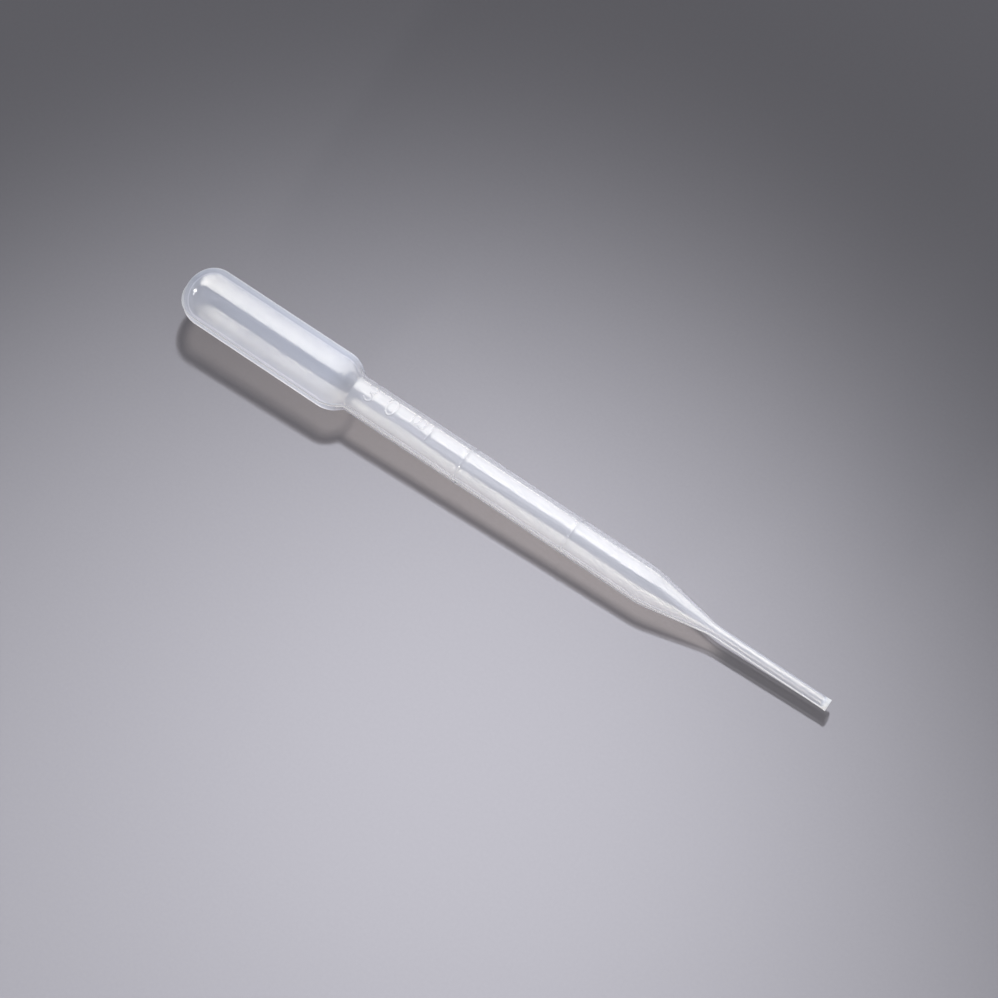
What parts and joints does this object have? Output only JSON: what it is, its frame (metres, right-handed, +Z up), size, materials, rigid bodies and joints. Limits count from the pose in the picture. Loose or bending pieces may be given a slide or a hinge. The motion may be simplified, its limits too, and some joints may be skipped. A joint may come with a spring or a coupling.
{
  "type": "transfer pipette",
  "caption": "One-piece soft plastic dropper with a squeeze bulb, a straight barrel with raised volume rings and a narrow drawn tip, for moving small volumes of liquid.",
  "frame": {"origin": "on the surface that the pipette lies on, under the middle of its bounding box", "axes": "+X along the pipette from bulb to tip, with the tip end dipping by 1.7 degrees as it lies, +Z up"},
  "size_m": [0.1526, 0.0124, 0.0134],
  "materials": {
    "polyethylene": "translucent milky, smooth satin"
  },
  "bodies": {
    "root": {"pipette": "polyethylene"}
  },
  "joints": []
}
